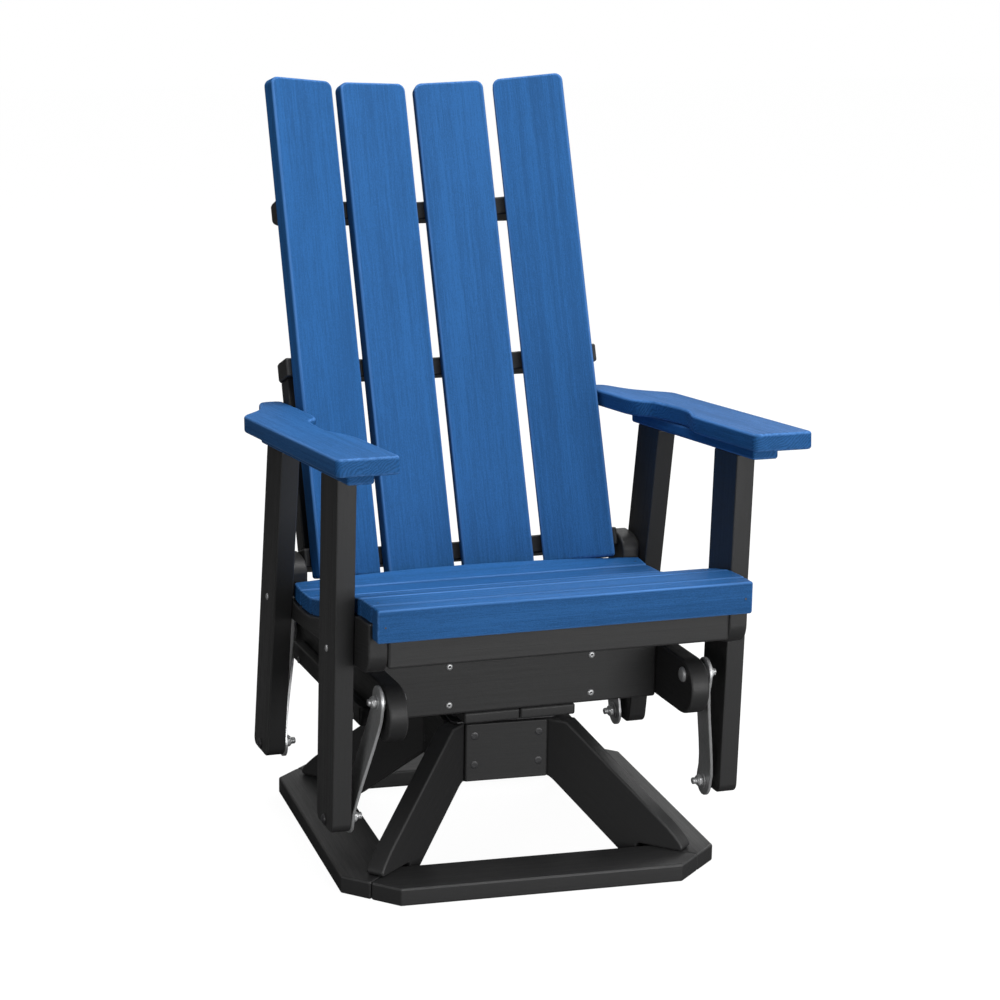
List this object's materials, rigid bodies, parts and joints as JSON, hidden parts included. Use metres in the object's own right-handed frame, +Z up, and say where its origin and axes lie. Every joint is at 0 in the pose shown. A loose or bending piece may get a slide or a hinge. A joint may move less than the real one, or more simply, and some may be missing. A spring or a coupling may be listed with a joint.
{
  "type": "swivel rocking chair",
  "caption": "Slatted lawn armchair with a fanned back, hung on swinging steel links from a frame that swivels on a square braced base.",
  "frame": {"origin": "middle of the bounding box at the floor; the swivel's axis stands 52 mm in front of it, at y = -0.05207", "axes": "+Z up, the seat faces -Y, +X is the sitter's left arm as seen from the front on the viewer's right"},
  "size_m": [0.7592, 0.8808, 1.2119],
  "materials": {
    "black_lumber": "brushed matte plastic lumber",
    "blue_lumber": "brushed matte plastic lumber with a lengthwise grain",
    "zinc_steel": "zinc plated",
    "dark_steel": "black coated steel"
  },
  "bodies": {
    "base": {"brace_front_left": "black_lumber", "brace_front_right": "black_lumber", "brace_rear_left": "black_lumber", "brace_rear_right": "black_lumber", "hub_front": "black_lumber", "hub_left": "black_lumber", "hub_rear": "black_lumber", "hub_right": "black_lumber", "ring_front": "black_lumber", "ring_left": "black_lumber", "ring_rear": "black_lumber", "ring_right": "black_lumber", "swivel_bearing": "dark_steel", "swivel_lower_plate": "dark_steel"},
    "swivel_frame": {"beam_front": "black_lumber", "beam_rear": "black_lumber", "glide_rail_left": "black_lumber", "glide_rail_right": "black_lumber", "mount_board_left": "black_lumber", "mount_board_right": "black_lumber", "side_bar_left": "black_lumber", "side_bar_right": "black_lumber", "swivel_upper_plate": "dark_steel"},
    "link_front_left": {"link_front_left": "zinc_steel"},
    "link_front_right": {"link_front_right": "zinc_steel"},
    "link_rear_left": {"link_rear_left": "zinc_steel"},
    "link_rear_right": {"link_rear_right": "zinc_steel"},
    "seat": {"apron": "blue_lumber", "arm_cleat_left": "blue_lumber", "arm_cleat_right": "blue_lumber", "arm_left": "blue_lumber", "arm_right": "blue_lumber", "back_board_inner_left": "blue_lumber", "back_board_inner_right": "blue_lumber", "back_board_outer_left": "blue_lumber", "back_board_outer_right": "blue_lumber", "back_post_left": "black_lumber", "back_post_right": "black_lumber", "front_cross_rail": "black_lumber", "leg_bolt_front_left": "zinc_steel", "leg_bolt_front_right": "zinc_steel", "leg_bolt_rear_left": "zinc_steel", "leg_bolt_rear_right": "zinc_steel", "leg_front_left": "black_lumber", "leg_front_right": "black_lumber", "leg_rear_left": "black_lumber", "leg_rear_right": "black_lumber", "rib_lower": "black_lumber", "rib_middle": "black_lumber", "rib_upper": "black_lumber", "side_rail_left": "black_lumber", "side_rail_right": "black_lumber", "slat_1": "blue_lumber", "slat_2": "blue_lumber", "slat_3": "blue_lumber", "slat_4": "blue_lumber", "slat_5": "blue_lumber", "slat_6": "blue_lumber", "slat_7": "blue_lumber", "slat_8": "blue_lumber"}
  },
  "joints": [
    {"name": "seat_swivel", "type": "hinge", "parent": "base", "child": "swivel_frame", "pos_m": [0, -0.05207, 0.2209], "axis": [0, 0, 1], "continuous": true},
    {"name": "link_front_left_pivot", "type": "hinge", "parent": "swivel_frame", "child": "link_front_left", "pos_m": [0, -0.30407, 0.317], "axis": [1, 0, 0], "range_deg": [-9, 9]},
    {"name": "link_front_right_pivot", "type": "hinge", "parent": "swivel_frame", "child": "link_front_right", "pos_m": [0, -0.30407, 0.317], "axis": [1, 0, 0], "range_deg": [-9, 9]},
    {"name": "link_rear_left_pivot", "type": "hinge", "parent": "swivel_frame", "child": "link_rear_left", "pos_m": [0, 0.19993, 0.317], "axis": [1, 0, 0], "range_deg": [-9, 9]},
    {"name": "link_rear_right_pivot", "type": "hinge", "parent": "swivel_frame", "child": "link_rear_right", "pos_m": [0, 0.19993, 0.317], "axis": [1, 0, 0], "range_deg": [-9, 9]},
    {"name": "seat_hang", "type": "hinge", "parent": "link_front_left", "child": "seat", "pos_m": [-0.3025, -0.24707, 0.115], "axis": [1, 0, 0], "range_deg": [-12, 12]}
  ],
  "couplings": [
    {"joint": "link_front_right_pivot", "follows": "link_front_left_pivot", "ratio": 1},
    {"joint": "link_rear_left_pivot", "follows": "link_front_left_pivot", "ratio": 1},
    {"joint": "link_rear_right_pivot", "follows": "link_front_left_pivot", "ratio": 1},
    {"joint": "seat_hang", "follows": "link_front_left_pivot", "ratio": -1.2923}
  ]
}
